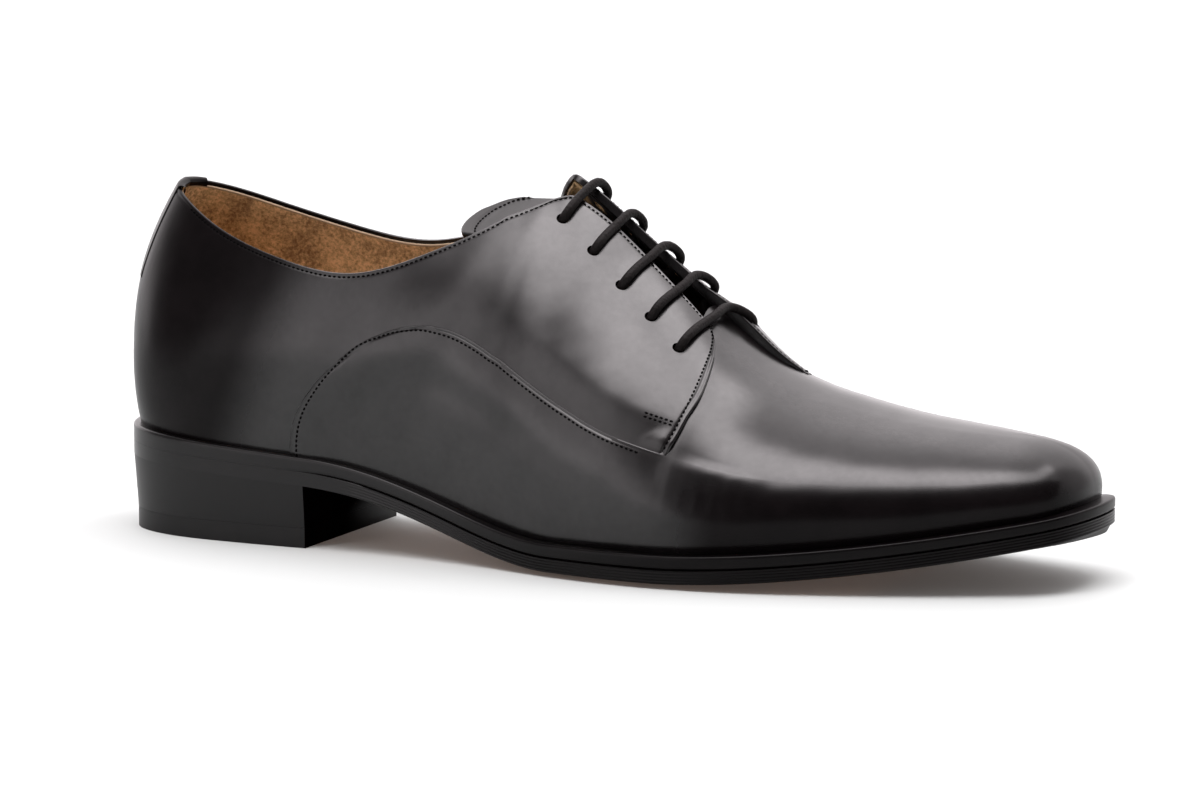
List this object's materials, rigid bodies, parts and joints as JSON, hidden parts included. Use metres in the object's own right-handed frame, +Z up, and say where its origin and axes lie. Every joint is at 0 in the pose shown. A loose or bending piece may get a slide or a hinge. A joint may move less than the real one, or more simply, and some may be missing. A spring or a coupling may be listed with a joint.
{
  "type": "leather dress shoe",
  "caption": "Plain black open-laced leather dress shoe for the right foot, with a chiselled toe, welted leather sole, stacked heel and round lace in straight bars.",
  "frame": {"origin": "middle of the shoe's box on the floor it stands on", "axes": "+X from the heel to the toe, +Y to the medial side, +Z up"},
  "size_m": [0.3074, 0.101, 0.1125],
  "materials": {
    "sole_leather": "smooth sole leather with a blacked edge",
    "black_edge": "blacked and waxed edge",
    "heel_rubber": "matt black rubber",
    "lining_leather": "soft tan lining leather",
    "upper_leather": "polished black calf leather",
    "tongue_leather": "black calf leather",
    "lace_cord": "round waxed black cord"
  },
  "bodies": {
    "root": {"outsole": "sole_leather", "welt": "black_edge", "heel_block": "black_edge", "heel_top_piece": "heel_rubber", "insole": "lining_leather", "upper": "upper_leather", "tongue": "tongue_leather", "lace": "lace_cord"}
  },
  "joints": []
}
